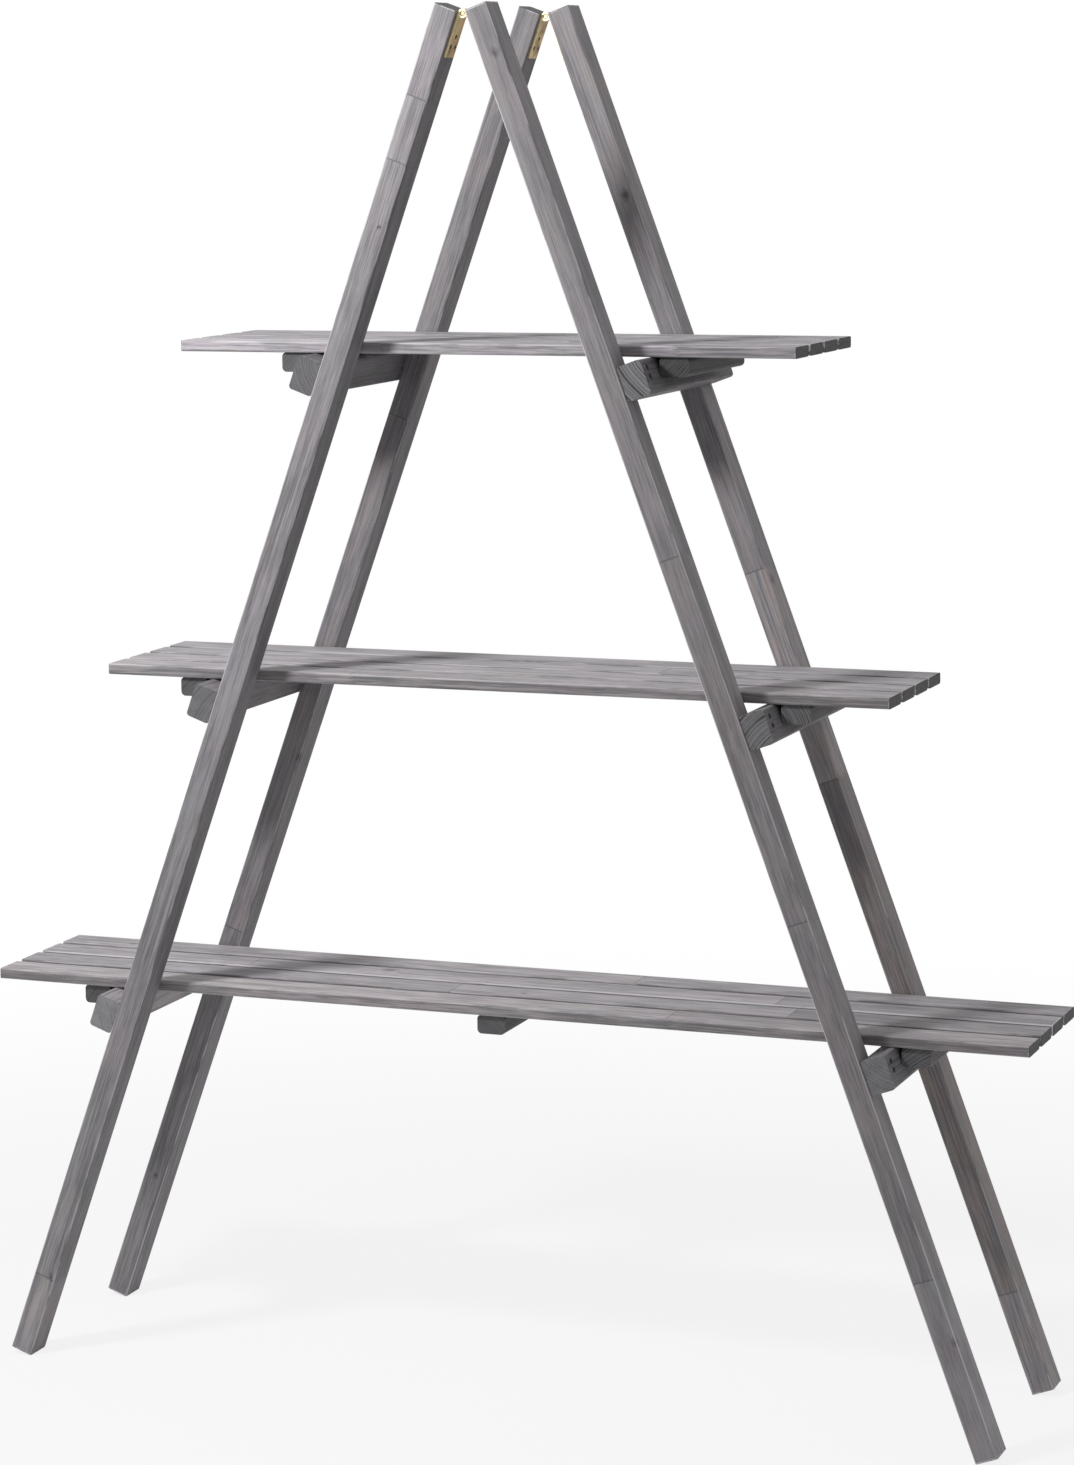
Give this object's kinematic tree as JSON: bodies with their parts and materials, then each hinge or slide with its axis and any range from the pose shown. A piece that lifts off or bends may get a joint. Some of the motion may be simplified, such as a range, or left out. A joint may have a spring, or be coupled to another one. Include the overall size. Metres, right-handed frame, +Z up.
{
  "type": "plant ladder stand",
  "caption": "Folding A-frame plant stand of grey-stained wood: two ladders hinged at the top carry slatted shelves on their rungs.",
  "frame": {"origin": "on the floor, under the middle of the stand's depth and width", "axes": "+Z up, +X along the shelves towards the right ladder, +Y from the front towards the back"},
  "size_m": [1.2, 0.274, 1.511],
  "materials": {
    "leg_wood": "softwood with a grey translucent stain, fine long grain, a few knots and finger joints, eased edges, low sheen",
    "rung_wood": "the same grey-stained softwood, with darker end grain",
    "slat_wood": "grey-stained softwood, lighter on the upper faces and on the eased edges",
    "batten_wood": "grey-stained softwood in the shade of the shelf, dark end grain",
    "hinge_brass": "pressed brass sheet, rubbed bright at the edges",
    "hinge_pin_brass": "bright brass rod",
    "hinge_screw_brass": "dark brass",
    "screw_steel": "dark zinc plate"
  },
  "bodies": {
    "left_ladder": {"left_front_leg": "leg_wood", "left_back_leg": "leg_wood", "left_top_rung": "rung_wood", "left_middle_rung": "rung_wood", "left_bottom_rung": "rung_wood", "left_rung_screws": "screw_steel", "front_hinge_left_leaf": "hinge_brass", "back_hinge_left_leaf": "hinge_brass", "front_hinge_pin": "hinge_pin_brass", "back_hinge_pin": "hinge_pin_brass", "left_hinge_screws": "hinge_screw_brass"},
    "right_ladder": {"right_front_leg": "leg_wood", "right_back_leg": "leg_wood", "right_top_rung": "rung_wood", "right_middle_rung": "rung_wood", "right_bottom_rung": "rung_wood", "right_rung_screws": "screw_steel", "front_hinge_right_leaf": "hinge_brass", "back_hinge_right_leaf": "hinge_brass", "right_hinge_screws": "hinge_screw_brass"},
    "top_shelf": {"top_shelf_front_slat": "slat_wood", "top_shelf_second_slat": "slat_wood", "top_shelf_third_slat": "slat_wood", "top_shelf_back_slat": "slat_wood", "top_shelf_left_batten": "batten_wood", "top_shelf_right_batten": "batten_wood", "top_shelf_screws": "screw_steel"},
    "middle_shelf": {"middle_shelf_front_slat": "slat_wood", "middle_shelf_second_slat": "slat_wood", "middle_shelf_third_slat": "slat_wood", "middle_shelf_back_slat": "slat_wood", "middle_shelf_left_batten": "batten_wood", "middle_shelf_right_batten": "batten_wood", "middle_shelf_screws": "screw_steel"},
    "bottom_shelf": {"bottom_shelf_front_slat": "slat_wood", "bottom_shelf_second_slat": "slat_wood", "bottom_shelf_third_slat": "slat_wood", "bottom_shelf_back_slat": "slat_wood", "bottom_shelf_left_batten": "batten_wood", "bottom_shelf_middle_batten": "batten_wood", "bottom_shelf_right_batten": "batten_wood", "bottom_shelf_screws": "screw_steel"}
  },
  "joints": [
    {"name": "ladder_fold", "type": "hinge", "parent": "left_ladder", "child": "right_ladder", "pos_m": [0, 0, 1.49943], "axis": [0, 1, 0], "range_deg": [0, 40.3]},
    {"name": "top_shelf_lift", "type": "slide", "parent": "left_ladder", "child": "top_shelf", "axis": [0, 0, 1], "range_m": [0, 0.4]},
    {"name": "middle_shelf_lift", "type": "slide", "parent": "left_ladder", "child": "middle_shelf", "axis": [0, 0, 1], "range_m": [0, 0.25]},
    {"name": "bottom_shelf_lift", "type": "slide", "parent": "left_ladder", "child": "bottom_shelf", "axis": [0, 0, 1], "range_m": [0, 0.23]}
  ]
}
